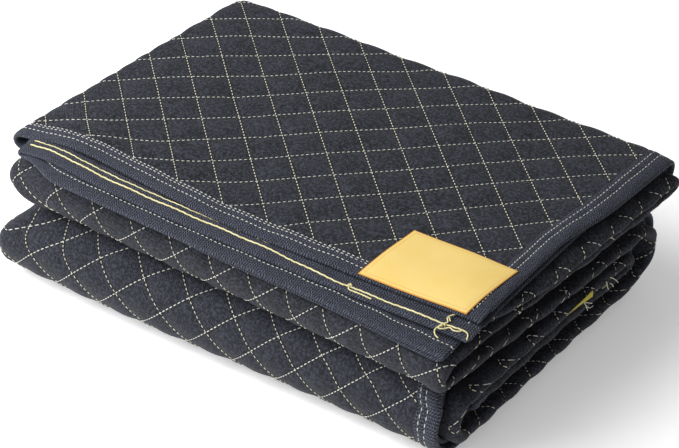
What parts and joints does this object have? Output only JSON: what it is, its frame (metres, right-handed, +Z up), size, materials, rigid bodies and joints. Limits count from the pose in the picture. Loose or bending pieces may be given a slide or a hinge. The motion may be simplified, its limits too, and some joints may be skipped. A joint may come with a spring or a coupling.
{
  "type": "folded moving pad",
  "caption": "Quilted moving pad with bound edges, folded in half twice and then laid into a stack, with a plain woven label on a front corner.",
  "frame": {"origin": "centre of the part's box on the surface that it lies on", "axes": "+X along the stack, from the closed folds to the bound side edges; +Y from the front, where the bound end shows, to the back; +Z up"},
  "size_m": [0.5008, 0.3576, 0.1464],
  "materials": {
    "quilted_cloth": "matt quilted polyester, charcoal with cream stitching",
    "binding_tape": "matt grey-blue twill tape",
    "woven_label": "smooth woven, pale yellow"
  },
  "bodies": {
    "root": {"quilted_cloth": "quilted_cloth", "near_end_tape": "binding_tape", "far_end_tape": "binding_tape", "top_side_tape": "binding_tape", "second_side_tape": "binding_tape", "woven_label": "woven_label"}
  },
  "joints": []
}
